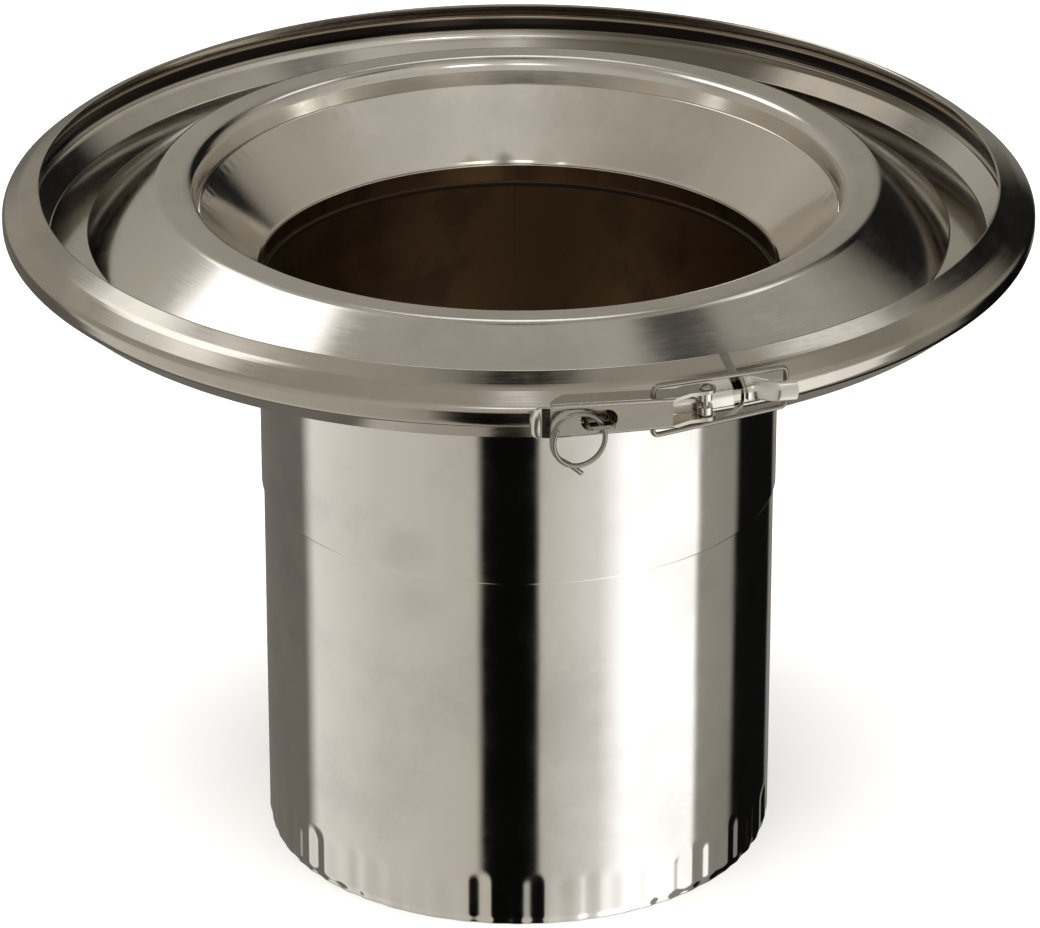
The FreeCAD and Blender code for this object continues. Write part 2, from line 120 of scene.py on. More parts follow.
def rounded_path(points, radii, step=7.0):
    """Points along straight runs joined by tangent arcs, one radius per inner corner."""
    path = [Vector(points[0])]
    for before, corner, after, radius in zip(points, points[1:], points[2:], radii):
        corner = Vector(corner)
        into = (corner - path[-1]).normalized()
        away = (Vector(after) - corner).normalized()
        turn = into.angle(away)
        reach = radius * math.tan(turn / 2)
        start = corner - into * reach
        end = corner + away * reach
        centre = corner + (away - into).normalized() * (radius / math.cos(turn / 2))
        count = max(2, round(math.degrees(turn) / step))
        first, last = start - centre, end - centre
        for i in range(count + 1):
            share = i / count
            mixed = first * math.sin((1 - share) * turn) + last * math.sin(share * turn)
            path.append(centre + mixed / math.sin(turn))
    path.append(Vector(points[-1]))
    return path


def split_runs(path, longest):
    """Adds points to runs longer than that, so that slow shape changes have vertices."""
    out = [path[0]]
    for a, b in zip(path, path[1:]):
        count = max(1, math.ceil((b - a).length / longest))
        out += [a.lerp(b, i / count) for i in range(1, count + 1)]
    return out


def guard_runs(path, gap=0.12):
    """Adds a point close to both ends of every long run, so that its shading stays flat between them."""
    out = [path[0]]
    for a, b in zip(path, path[1:]):
        length = (b - a).length
        if length > 4 * gap:
            out += [a.lerp(b, gap / length), a.lerp(b, 1 - gap / length)]
        out.append(b)
    return out


def sheet_outline(path, thickness):
    """Closed outline of a bent sheet with rounded edges, round its mid-line path."""
    path = guard_runs(path)
    half = thickness / 2
    left, right = [], []
    for i, point in enumerate(path):
        before = path[max(i - 1, 0)]
        after = path[min(i + 1, len(path) - 1)]
        along = (after - before).normalized()
        side = Vector((-along.y, along.x))
        left.append(point + side * half)
        right.append(point - side * half)
    outline = list(left)
    outline += edge_round(path[-1], path[-1] - path[-2], half)
    outline += right[::-1]
    outline += edge_round(path[0], path[0] - path[1], half)
    return outline


def edge_round(centre, direction, half, count=4):
    along = direction.normalized()
    side = Vector((-along.y, along.x))
    turns = [math.pi * i / count for i in range(1, count)]
    return [centre + (side * math.cos(t) + along * math.sin(t)) * half for t in turns]


def lathe(name, outline, azimuths, closed=True, shift=None, sharp=35.0):
    """Turns an outline of (radius, height) points through the azimuths; shift(az, r, z) moves the radius."""
    bm = bmesh.new()
    rings = []
    for azimuth in azimuths:
        angle = math.radians(azimuth)
        ring = []
        for point in outline:
            radius = point[0] + (shift(azimuth, point[0], point[1]) if shift else 0.0)
            where = Vector((radius * math.sin(angle), -radius * math.cos(angle), point[1]))
            ring.append(bm.verts.new(where * MM))
        rings.append(ring)
    size = len(outline)
    pairs = list(zip(rings, rings[1:])) + ([(rings[-1], rings[0])] if closed else [])
    for a, b in pairs:
        for j in range(size):
            k = (j + 1) % size
            bm.faces.new((a[j], b[j], b[k], a[k]))
    if not closed:
        bm.faces.new(rings[0])
        bm.faces.new(rings[-1][::-1])
    return finish_mesh(bm, name, sharp)


def latch_point(along, out, height=0.0):
    """A point given in the latch's tangent frame, as metres in the model's frame."""
    angle = math.radians(LATCH_AZ)
    x = along * math.cos(angle) + out * math.sin(angle)
    y = along * math.sin(angle) - out * math.cos(angle)
    return Vector((x, y, LATCH_Z + height)) * MM


def round_bar(name, points, radius, segments=16, ball_ends=False):
    """A wire of round section along points that are in metres; its radius is in millimetres."""
    radius = radius * MM
    bm = bmesh.new()
    rings = []
    normal = None
    for i, point in enumerate(points):
        along = (points[min(i + 1, len(points) - 1)] - points[max(i - 1, 0)]).normalized()
        if normal is None:
            normal = along.orthogonal().normalized()
        normal = (normal - along * normal.dot(along)).normalized()
        other = along.cross(normal)
        rings.append((point, along, normal, other, 1.0))
    if ball_ends:
        rings = ball(rings[0], radius, True) + rings + ball(rings[-1], radius, False)
    loops = []
    for point, along, side, other, share in rings:
        loop = []
        for j in range(segments):
            turn = 2 * math.pi * j / segments
            offset = (side * math.cos(turn) + other * math.sin(turn)) * radius * share
            loop.append(bm.verts.new(point + offset))
        loops.append(loop)
    for a, b in zip(loops, loops[1:]):
        for j in range(segments):
            k = (j + 1) % segments
            bm.faces.new((a[j], a[k], b[k], b[j]))
    bm.faces.new(loops[0][::-1])
    bm.faces.new(loops[-1])
    return finish_mesh(bm, name, 50.0)


def ball(ring, radius, at_start):
    """Shrinking rings that round off a bar's end over a third of its radius."""
    point, along, side, other, _ = ring
    out = []
    for share in (0.35, 0.7, 0.92):
        reach = radius * 0.45 * math.sqrt(1 - share * share)
        place = point + along * (-reach if at_start else reach)
        out.append((place, along, side, other, share))
    return out if at_start else out[::-1]


def bevel(obj, width, segments=3, angle=30.0):
    modifier = obj.modifiers.new("edges", "BEVEL")
    modifier.width = width * MM
    modifier.segments = segments
    modifier.limit_method = "ANGLE"
    modifier.angle_limit = math.radians(angle)
    modifier.harden_normals = True
    apply_modifiers(obj)


def apply_modifiers(obj):
    graph = bpy.context.evaluated_depsgraph_get()
    mesh = bpy.data.meshes.new_from_object(obj.evaluated_get(graph))
    old = obj.data
    obj.modifiers.clear()
    obj.data = mesh
    bpy.data.meshes.remove(old)


def cut(obj, cutter):
    modifier = obj.modifiers.new("cut", "BOOLEAN")
    modifier.object = cutter
    modifier.solver = "EXACT"
    apply_modifiers(obj)
    bpy.data.objects.remove(cutter)


def join_solid(obj, other):
    modifier = obj.modifiers.new("join", "BOOLEAN")
    modifier.object = other
    modifier.operation = "UNION"
    modifier.solver = "EXACT"
    apply_modifiers(obj)
    bpy.data.objects.remove(other)


def prism(name, outline, low, high):
    """Upright prism over an outline of latch-frame (along, out) points, between two heights."""
    bm = bmesh.new()
    floor = [bm.verts.new(latch_point(s, d, low)) for s, d in outline]
    roof = [bm.verts.new(latch_point(s, d, high)) for s, d in outline]
    bm.faces.new(floor)
    bm.faces.new(roof[::-1])
    for i in range(len(outline)):
        j = (i + 1) % len(outline)
        bm.faces.new((floor[i], roof[i], roof[j], floor[j]))
    return finish_mesh(bm, name)


def disc(centre, radius, count=32):
    turns = [2 * math.pi * i / count for i in range(count)]
    return [(centre[0] + radius * math.cos(t), centre[1] + radius * math.sin(t)) for t in turns]


def swept_strip(name, path, thickness, half_widths, centre=0.0):
    """Sheet strip that follows a latch-frame (along, out) path; half_widths has one value per path point."""
    corner = min(0.2, thickness / 3)
    bm = bmesh.new()
    loops = []
    for i, point in enumerate(path):
        along = (path[min(i + 1, len(path) - 1)] - path[max(i - 1, 0)]).normalized()
        side = Vector((-along.y, along.x))
        loop = []
        for across, height in rounded_rectangle(thickness / 2, half_widths[i], corner):
            place = point + side * across
            loop.append(bm.verts.new(latch_point(place.x, place.y, centre + height)))
        loops.append(loop)
    for a, b in zip(loops, loops[1:]):
        for j in range(len(a)):
            k = (j + 1) % len(a)
            bm.faces.new((a[j], a[k], b[k], b[j]))
    bm.faces.new(loops[0][::-1])
    bm.faces.new(loops[-1])
    return finish_mesh(bm, name)


def rounded_rectangle(half_x, half_y, corner, count=3):
    points = []
    for sign_x, sign_y, first in ((1, 1, 0), (-1, 1, 90), (-1, -1, 180), (1, -1, 270)):
        for i in range(count + 1):
            turn = math.radians(first + 90 * i / count)
            x = sign_x * (half_x - corner) + corner * math.cos(turn)
            y = sign_y * (half_y - corner) + corner * math.sin(turn)
            points.append((x, y))
    return points


def azimuth_list(low, high, count, seams=(), seam_half=0.4, seam_steps=12):
    """Even azimuths, with close-set ones added across each seam."""
    values = {round(low + (high - low) * i / count, 5) for i in range(count)}
    for seam in seams:
        for i in range(seam_steps + 1):
            values.add(round(seam - seam_half + 2 * seam_half * i / seam_steps, 5))
    return sorted(values)


def seam_bump(azimuth, seam, height, width=0.11):
    return height * math.exp(-((azimuth - seam) / width) ** 2)


def smooth_step(low, high, value):
    share = min(1.0, max(0.0, (value - low) / (high - low)))
    return share * share * (3 - 2 * share)


# ---------------------------------------------------------------- node helpers

def add(tree, kind, inputs=(), **settings):
    """A shader node. Inputs are values, sockets to link, or None to leave one alone."""
    node = tree.nodes.new(kind)
    for key, value in settings.items():
        setattr(node, key, value)
    for socket, value in zip(node.inputs, inputs):
        if isinstance(value, bpy.types.NodeSocket):
            tree.links.new(value, socket)
        elif value is not None:
            socket.default_value = value
    return node


def calc(tree, operation, *inputs):
    return add(tree, "ShaderNodeMath", inputs, operation=operation).outputs[0]


def smooth(tree, value, low, high, out_low=0.0, out_high=1.0):
    node = add(tree, "ShaderNodeMapRange", (value, low, high, out_low, out_high))
    node.interpolation_type = "SMOOTHSTEP"
    return node.outputs[0]


def ramp(tree, value, stops, interpolation="LINEAR"):
    """Colour ramp over stops of (position, colour)."""
    node = add(tree, "ShaderNodeValToRGB", (value,))
    node.color_ramp.interpolation = interpolation
    elements = node.color_ramp.elements
    while len(elements) < len(stops):
        elements.new(0.5)
    for element, (position, colour) in zip(elements, stops):
        element.position = position
        element.color = (*colour, 1.0)
    return node.outputs[0]


def blend(tree, share, first, second):
    node = tree.nodes.new("ShaderNodeMix")
    node.data_type = "RGBA"
    sockets = [s for s in node.inputs if s.enabled]
    for socket, value in zip(sockets, (share, first, second)):
        if isinstance(value, bpy.types.NodeSocket):
            tree.links.new(value, socket)
        else:
            socket.default_value = (*value, 1.0) if isinstance(value, tuple) else value
    return [s for s in node.outputs if s.enabled][0]


def grey(value, warmth=0.0):
    """Grey of that strength, pulled towards yellow-brown by warmth."""
    return (value * (1 + 0.5 * warmth), value, value * (1 - warmth))


def noise(tree, vector, scale, detail=3.0, roughness=0.5):
    node = add(tree, "ShaderNodeTexNoise", (vector,))
    node.inputs["Scale"].default_value = scale
    node.inputs["Detail"].default_value = detail
    node.inputs["Roughness"].default_value = roughness
    return node.outputs["Fac"]


# ---------------------------------------------------------------- materials

class Steel:
    """Stainless steel: tint, rolled or spun grain, gentle waviness, smudges, and tarnish or painted shade where
    asked.
    """

    def __init__(self, name, colour, roughness):
        self.material = bpy.data.materials.new(name)
        self.material.use_nodes = True
        self.tree = self.material.node_tree
        self.shader = self.tree.nodes["Principled BSDF"]
        self.shader.inputs["Metallic"].default_value = 1.0
        self.place = add(self.tree, "ShaderNodeTexCoord").outputs["Object"]
        self.base_roughness = roughness
        self.smudges(colour)
        self.height = None

    def smudges(self, colour):
        darker = tuple(0.86 * c for c in colour)
        cloud = noise(self.tree, self.place, 22.0, 5.0, 0.6)
        share = smooth(self.tree, cloud, 0.42, 0.68)
        self.colour = blend(self.tree, share, colour, darker)
        low, high = 0.8 * self.base_roughness, 1.35 * self.base_roughness
        self.roughness = smooth(self.tree, noise(self.tree, self.place, 60.0, 6.0, 0.65), 0.3, 0.75, low, high)

    def parts_and_radius(self):
        """The object coordinates x, y and z, and the distance from the flue axis."""
        parts = add(self.tree, "ShaderNodeSeparateXYZ", (self.place,)).outputs
        across = calc(self.tree, "MULTIPLY", parts[0], parts[0])
        along = calc(self.tree, "MULTIPLY", parts[1], parts[1])
        return parts, calc(self.tree, "SQRT", calc(self.tree, "ADD", across, along))

    def round_the_axis(self):
        """Coordinates for grain that runs round the flue axis: radius and height vary fast, azimuth slowly."""
        parts, radius = self.parts_and_radius()
        angle = calc(self.tree, "ARCTAN2", parts[1], parts[0])
        slow = calc(self.tree, "MULTIPLY", angle, 0.006)
        return add(self.tree, "ShaderNodeCombineXYZ", (radius, slow, parts[2])).outputs[0]

    def grain(self, vector, scale, depth):
        fine = noise(self.tree, vector, scale, 2.0, 0.6)
        self.bump(fine, depth)
        rise = smooth(self.tree, fine, 0.35, 0.65, 0.9, 1.15)
        self.roughness = calc(self.tree, "MULTIPLY", self.roughness, rise)

    def waves(self, scale, depth):
        self.bump(noise(self.tree, self.place, scale, 1.0, 0.4), depth)

    def bump(self, height, depth):
        """Stacks one more layer of relief, depth in millimetres."""
        node = add(self.tree, "ShaderNodeBump")
        node.inputs["Strength"].default_value = 1.0
        node.inputs["Distance"].default_value = depth * MM
        self.tree.links.new(height, node.inputs["Height"])
        if self.height is not None:
            self.tree.links.new(self.height, node.inputs["Normal"])
        self.height = node.outputs["Normal"]

    def stain(self, centre, radius, colour, strength=1.0, scale=90.0):
        """A cloudy heat mark round a point given as (azimuth, radius, height) in degrees and millimetres."""
        azimuth, out, height = centre
        angle = math.radians(azimuth)
        point = Vector((out * math.sin(angle), -out * math.cos(angle), height)) * MM
        gap = add(self.tree, "ShaderNodeVectorMath", (self.place, point), operation="DISTANCE").outputs["Value"]
        cloud = noise(self.tree, self.place, scale, 4.0)
        ragged = calc(self.tree, "MULTIPLY_ADD", cloud, 0.9 * radius * MM, gap)
        mask = smooth(self.tree, ragged, 0.5 * radius * MM, 1.35 * radius * MM, strength, 0.0)
        self.colour = blend(self.tree, mask, self.colour, colour)

    def tint_where(self, mask, colour, roughness=None):
        self.colour = blend(self.tree, mask, self.colour, colour)
        if roughness is not None:
            node = add(self.tree, "ShaderNodeMapRange", (mask, 0.0, 1.0, self.roughness, roughness))
            self.roughness = node.outputs[0]

    def inside_mask(self, radius, low, high):
        """1 inside that radius between those heights."""
        parts, reach = self.parts_and_radius()
        near = calc(self.tree, "LESS_THAN", reach, radius * MM)
        above = calc(self.tree, "GREATER_THAN", parts[2], low * MM)
        below = calc(self.tree, "LESS_THAN", parts[2], high * MM)
        return calc(self.tree, "MULTIPLY", near, calc(self.tree, "MULTIPLY", above, below))

    def ring_mask(self, radius, low, high, soft):
        """1 outside that radius between those heights, with soft upper and lower edges."""
        parts, reach = self.parts_and_radius()
        far = calc(self.tree, "GREATER_THAN", reach, radius * MM)
        rise = smooth(self.tree, parts[2], (low - soft) * MM, (low + soft) * MM)
        fall = smooth(self.tree, parts[2], (high - soft) * MM, (high + soft) * MM, 1.0, 0.0)
        return calc(self.tree, "MULTIPLY", far, calc(self.tree, "MULTIPLY", rise, fall))

    def side_mask(self, azimuth, inner, outer):
        """1 within the inner angle of that azimuth round the flue axis, fading to 0 at the outer one."""
        aim = Vector((math.sin(math.radians(azimuth)), -math.cos(math.radians(azimuth)), 0.0))
        flatten = Vector((1.0, 1.0, 0.0))
        level = add(self.tree, "ShaderNodeVectorMath", (self.place, flatten), operation="MULTIPLY")
        way = add(self.tree, "ShaderNodeVectorMath", (level.outputs[0],), operation="NORMALIZE").outputs[0]
        near = add(self.tree, "ShaderNodeVectorMath", (way, aim), operation="DOT_PRODUCT").outputs["Value"]
        return smooth(self.tree, near, math.cos(math.radians(outer)), math.cos(math.radians(inner)))

    def done(self):
        self.tree.links.new(self.colour, self.shader.inputs["Base Color"])
        self.tree.links.new(self.roughness, self.shader.inputs["Roughness"])
        if self.height is not None:
            self.tree.links.new(self.height, self.shader.inputs["Normal"])
        return self.material


BROWN = (0.30, 0.20, 0.11)
# Near black: soot stains on the funnel, and painted shade in the gap under the band's lip.
SOOT_AND_PAINTED_SHADE = (0.020, 0.016, 0.014)


def tube_material():
    """Mirror steel outside, brown with heat and soot inside."""
    steel = Steel("tube mirror steel", (0.80, 0.775, 0.735), 0.075)
    steel.waves(26.0, 0.10)
    steel.grain(steel.round_the_axis(), 2600.0, 0.0012)
    inner = steel.inside_mask(TUBE_R - 0.1 * SHEET, 19.0, TUBE_TOP + 1)
    top_edge = steel.inside_mask(TUBE_R, TUBE_TOP - 1.5, TUBE_TOP + 1)
    cloud = smooth(steel.tree, noise(steel.tree, steel.place, 30.0, 5.0, 0.6), 0.45, 0.62)
    steel.tint_where(inner, blend(steel.tree, cloud, (0.36, 0.26, 0.17), (0.23, 0.175, 0.125)), 0.32)
    steel.tint_where(top_edge, (0.07, 0.05, 0.035), 0.5)
    steel.stain((-24, 75, 103), 13, BROWN, 0.12)
    steel.stain((2, 75, 26), 10, BROWN, 0.12)
    return steel.done()


def collar_material():
    steel = Steel("collar mirror steel", (0.80, 0.775, 0.735), 0.075)
    steel.waves(30.0, 0.12)
    steel.grain(steel.round_the_axis(), 2600.0, 0.0012)
    steel.stain((-26, 75.6, 118), 12, BROWN, 0.16)
    return steel.done()


def plate_material():
    """Spun steel: darker brown just under the band's lip, a painted black shade strip in the gap below that,
    and painted shade along the trough's wall on one side of the back.
    """
    steel = Steel("spun plate steel", (0.72, 0.69, 0.64), 0.13)
    steel.waves(35.0, 0.04)
    steel.grain(steel.round_the_axis(), 1900.0, 0.0022)
    # Darker brown just under the band's lip.
    steel.tint_where(steel.ring_mask(139.0, 199.6, 206.0, 0.3), (0.30, 0.25, 0.19))
    # Painted shade: a near-black strip that stands in for the shadowed gap between the plate's wall and the
    # band's lip.
    steel.tint_where(steel.ring_mask(139.0, 195.8, 199.6, 0.3), SOOT_AND_PAINTED_SHADE)
    # Painted shade: the trough's wall darkened on the right of the back, toning down what it mirrors there.
    wall = steel.ring_mask(133.0, 186.0, 195.8, 0.3)
    painted_shade_side = calc(steel.tree, "MULTIPLY", wall, steel.side_mask(146, 18, 38))
    steel.tint_where(painted_shade_side, (0.21, 0.185, 0.15))
    return steel.done()


def funnel_material():
    steel = Steel("funnel steel", (0.74, 0.70, 0.64), 0.11)
    steel.waves(40.0, 0.05)
    steel.grain(steel.round_the_axis(), 1900.0, 0.0010)
    steel.stain((183, 76.5, 178), 5, SOOT_AND_PAINTED_SHADE, 0.75, 140.0)
    steel.stain((191, 76.5, 178), 5, BROWN, 0.6, 140.0)
    return steel.done()


def band_material():
    steel = Steel("band steel", (0.54, 0.505, 0.445), 0.14)
    steel.waves(45.0, 0.05)
    steel.grain(steel.round_the_axis(), 1700.0, 0.0026)
    return steel.done()


def latch_material(name, colour, roughness):
    steel = Steel(name, colour, roughness)
    steel.waves(120.0, 0.03)
    stretched = add(steel.tree, "ShaderNodeMapping", (steel.place,)).outputs[0]
    stretched.node.inputs["Rotation"].default_value = (0, 0, math.radians(-LATCH_AZ))
    stretched.node.inputs["Scale"].default_value = (0.06, 1.0, 1.0)
    steel.grain(stretched, 2400.0, 0.0014)
    return steel.done()


def wire_material():
    steel = Steel("drawn wire steel", (0.31, 0.28, 0.24), 0.2)
    steel.waves(260.0, 0.02)
    steel.grain(steel.place, 2200.0, 0.003)
    return steel.done()


# ---------------------------------------------------------------- sheet-metal pieces

def crimp_edges():
    """Azimuths between the flutes, unevenly spaced as the crimping jaws leave them."""
    dice = random.Random(11)
    step = 360.0 / CRIMP_COUNT
    return [(i + dice.uniform(-0.16, 0.16)) * step for i in range(CRIMP_COUNT)]


CRIMP_EDGES = crimp_edges()
CRIMP_DICE = random.Random(5)
# Depth of each flute and how far its top stands above the usual height.
CRIMPS = [(CRIMP_DICE.uniform(0.14, 0.46), CRIMP_DICE.uniform(-1.2, 1.6)) for _ in range(CRIMP_COUNT)]


def crimp_shift(azimuth, radius, height):
    """How far the spigot's wall is pressed in: upright flutes that fade out at their tops."""
    fade_height, seam_depth, turn_in_depth, turn_in_height = 5.0, 0.10, 0.55, 3.0
    if height > CRIMP_LENGTH + 3:
        return -seam_bump(azimuth, TUBE_SEAM, seam_depth)
    turned = (azimuth - CRIMP_EDGES[0]) % 360.0 + CRIMP_EDGES[0]
    index = max(i for i, edge in enumerate(CRIMP_EDGES) if edge <= turned + 1e-9)
    start = CRIMP_EDGES[index]
    end = CRIMP_EDGES[index + 1] if index + 1 < CRIMP_COUNT else CRIMP_EDGES[0] + 360.0
    across = (turned - start) / (end - start)
    depth, rise = CRIMPS[index]
    top = CRIMP_LENGTH + rise
    fade = 1 - smooth_step(top - fade_height, top, height)
    from_front = min(start, 360.0 - start)
    strength = 0.5 + 0.5 * smooth_step(5.0, 45.0, from_front)
    flute = strength * depth * math.sin(math.pi * across) ** 2 * fade
    turn_in = turn_in_depth * (1 - smooth_step(0.0, turn_in_height, height))
    return -flute - turn_in


def spigot_tube():
    half = SHEET / 2
    low_levels = [0.3 + 0.7 * i for i in range(28)]
    levels = low_levels + [24.0, 40.0, 70.0, 100.0, 130.0, 160.0, TUBE_TOP - half]
    path = [Vector((TUBE_R - half, z)) for z in levels]
    outline = sheet_outline(path, SHEET)
    azimuths = azimuth_list(CRIMP_EDGES[0], CRIMP_EDGES[0] + 360.0, CRIMP_COUNT * 14, (TUBE_SEAM,))
    tube = lathe("spigot_tube_crimped", outline, azimuths, shift=crimp_shift, sharp=60.0)
    return settle(tube, "adaptor", "spigot_tube", tube_material())


def collar_sleeve():
    middle = TUBE_R + COLLAR_GAP + SHEET / 2
    levels = [COLLAR_LOW + SHEET / 2, COLLAR_LOW + 2, COLLAR_LOW + 8, 140.0, 160.0, COLLAR_HIGH - SHEET / 2]
    outline = sheet_outline([Vector((middle, z)) for z in levels], SHEET)
    collar = lathe("collar_sleeve_turned", outline, azimuth_list(0.0, 360.0, 360))
    return settle(collar, "adaptor", "collar_sleeve", collar_material())


def funnel_cone():
    """The cone, with a short rolled foot where it is welded to the collar."""
    foot = TUBE_R + COLLAR_GAP + SHEET / 2
    low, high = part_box("funnel_cone")
    head = high.x / MM - SHEET / 2
    points = [(foot, low.z / MM + 0.3), (foot + 0.45, low.z / MM + 1.0), (head, high.z / MM - 0.35)]
    path = split_runs(rounded_path(points, [1.2]), 1.5)
    dice = random.Random(3)
    stitch_pitch, stitch_count = 2.6, 139
    heights = [0.35 * dice.uniform(0.05, 0.16) for _ in range(stitch_count)]
    knock_depth, knock_azimuth, knock_width, knock_height = 0.45, 172.0, 3.2, 3.0

    def weld(azimuth, radius, height):
        """Small resistance-weld dimples just under the plate's lip, and a knock at the cone's foot."""
        if height < high.z / MM - 3.2 or height > high.z / MM - 1.0:
            aside = (azimuth - knock_azimuth) / knock_width
            up = (height - low.z / MM) / knock_height
            return -knock_depth * math.exp(-aside ** 2 - up ** 2)
        stitches = (azimuth % 360) / stitch_pitch
        index = int(stitches)
        return heights[index % stitch_count] * math.sin(math.pi * (stitches - index)) ** 2

    cone = lathe("funnel_cone_turned", sheet_outline(path, SHEET), azimuth_list(0.0, 360.0, 720), shift=weld)
    return settle(cone, "adaptor", "funnel_cone", funnel_material())


def plate_path():
    """Mid-line of the pressed ring, from its inner lip out to its clamping rim."""
    half = SHEET / 2
    ridge = LIP - 0.8 - half
    lip = 92.2 + half
    inner_lip = [(lip, ridge - 8.0), (lip + 1.5, ridge)]
    cone = [(103.6, ridge), (124.2, LIP - 15.2 - half)]
    trough = [(135.6, LIP - 16.3 - half)]
    wall = [(141.6, LIP - 11.5), (141.8, LIP - 7.9), (141.2, LIP - 4.0)]
    rim = [(145.9, LIP - 7.4)]
    return rounded_path(inner_lip + cone + trough + wall + rim, [4.0, 5.0, 1.6, 1.2, 3.0, 6.0, 0.9])


def top_plate():
    outline = sheet_outline(split_runs(plate_path(), 3.0), SHEET)
    plate = lathe("top_plate_pressed", outline, azimuth_list(0.0, 360.0, 480))
    return settle(plate, "adaptor", "top_plate", plate_material())


def band_points(offset=0.0):
    """Corners of the band's V-section, or of a sheet lying on it at that offset outwards."""
    half = BAND_SHEET / 2
    apex = BAND_R - half + offset
    return [(BAND_LIP_R + half, LIP - half + offset), (143.2 + 0.5 * offset, LIP - 3.0 + offset),
            (apex, LIP - 7.2 + 0.3 * offset), (apex, LIP - 11.4 - 0.3 * offset),
            (139.8, LIP - BAND_HEIGHT + half - offset)]


def locking_band():
    outline = sheet_outline(rounded_path(band_points(), BAND_BENDS, 5.0), BAND_SHEET)
    azimuths = azimuth_list(*BAND_SPAN, 480) + [BAND_SPAN[1]]
    band = lathe("locking_band_rolled", outline, azimuths, closed=False)
    return settle(band, "adaptor", "locking_band", band_material())


def gap_tongue():
    """Strip lying inside the band behind its gap."""
    radius = BAND_R - BAND_SHEET - 0.5
    points = [(radius - 0.25, LIP - 7.4), (radius, LIP - 8.4), (radius, LIP - 10.4), (radius - 0.8, LIP - 11.6)]
    outline = sheet_outline(rounded_path(points, [0.8, 0.8]), SHEET)
    azimuths = azimuth_list(*TONGUE_SPAN, 16) + [TONGUE_SPAN[1]]
    tongue = lathe("gap_tongue_strip", outline, azimuths, closed=False)
    return settle(tongue, "adaptor", "gap_tongue", band_material())


def saddle_path(half_width):
    """Mid-line of a plate lying on the band's outside, between two heights about the latch's middle."""
    whole = rounded_path(band_points(0.9), BAND_BENDS, 5.0)
    return clip_heights(whole, LATCH_Z - half_width, LATCH_Z + half_width)


def clip_heights(path, low, high):
    """The part of a falling path between two heights."""
    out = []
    for a, b in zip(path, path[1:]):
        for level in (high, low):
            if (a.y - level) * (b.y - level) < 0:
                out.append(a.lerp(b, (level - a.y) / (b.y - a.y)))
        if low < b.y < high:
            out.append(b)
    return out


# ---------------------------------------------------------------- latch pieces

def lever_bracket(material):
    """Tongue lying on the band, with two rolled knuckles for the lever's rivet."""
    half, start, end = 3.2, 14.6, 22.6
    knuckle_length, knuckle_radius, bore_radius = 2.2, 2.05, 1.12
    near, far = PIVOT[0] + 0.65, PIVOT[0] + knuckle_radius
    root, top = PIVOT[1] - 3.0, PIVOT[1] + 0.2
    web = [(near, root), (far, root), (far, top), (near, top)]
    outline = sheet_outline(saddle_path(half), BAND_SHEET)
    tongue = lathe("lever_bracket_tongue", outline, azimuth_list(start, end, 14) + [end], closed=False)
    for low in (-half, half - knuckle_length):
        join_solid(tongue, prism("knuckle", disc(PIVOT, knuckle_radius, 40), low, low + knuckle_length))
        join_solid(tongue, prism("web", web, low, low + knuckle_length))
    cut(tongue, prism("hole", disc(PIVOT, bore_radius, 32), -10, 10))
    bevel(tongue, 0.12, 2)
    return settle(tongue, "adaptor", "lever_bracket", material)


def catch_hook(material):
    """Pressed strap on the band's other end: V-section on the band, crowned where it covers the bail."""
    path = split_runs(saddle_path(CATCH_HALF), 0.4)
    end = LATCH_AZ + math.degrees(math.atan2(STRAP_END, STRAP_OUT))

    def press(azimuth, radius, height):
        """Leads the V-section out to the strap, which follows the latch's own straight line."""
        crown = STRAP_CROWN * (1 - ((height - LATCH_Z) / CATCH_HALF) ** 2)
        strap = (STRAP_OUT + crown) / math.cos(math.radians(azimuth - LATCH_AZ))
        share = smooth_step(STRAP_START, STRAP_START + 2.4, azimuth)
        return share * (strap - radius_at(path, height))

    azimuths = azimuth_list(24.3, end, 44) + [end]
    hook = lathe("catch_hook_pressed", sheet_outline(path, BAND_SHEET), azimuths, closed=False, shift=press)
    bevel(hook, 0.16, 3, 50)
    return settle(hook, "adaptor", "catch_hook", material)


def radius_at(path, height):
    """Radius of a falling mid-line at a height."""
    if height >= path[0].y:
        return path[0].x
    for a, b in zip(path, path[1:]):
        if b.y <= height <= a.y:
            return a.lerp(b, (a.y - height) / (a.y - b.y)).x
    return path[-1].x


def lever_plan():
    """Side outline of the lever: face, sloping shoulder, round ear, flange edge, chamfered end."""
    ear_radius, ear_steps = 2.9, 12
    left, right = LEVER_LEFT, LEVER_RIGHT
    face = [(left, LEVER_FACE), (right, LEVER_FACE)]
    shoulder = [(right + 1.9, LEVER_FACE - 1.1), (right + 5.4, PIVOT[1] + 3.3)]
    turns = [math.radians(90 - 180 * i / ear_steps) for i in range(ear_steps + 1)]
    ear = [(PIVOT[0] + ear_radius * math.cos(t), PIVOT[1] + ear_radius * math.sin(t)) for t in turns]
    flange = [(right + 4.6, PIVOT[1] - 2.2), (right + 2, FLANGE_EDGE), (left + 4.2, FLANGE_EDGE)]
    chamfer = [(left + 1.4, FLANGE_EDGE + 2.6), (left, FLANGE_EDGE + 4.6)]
    return face + shoulder + ear + flange + chamfer


def lever_half_at(along):
    """The channel narrows a little from its tab to its ears."""
    return LEVER_HALF + LEVER_FLARE * smooth_step(12.0, LEVER_LEFT, along)


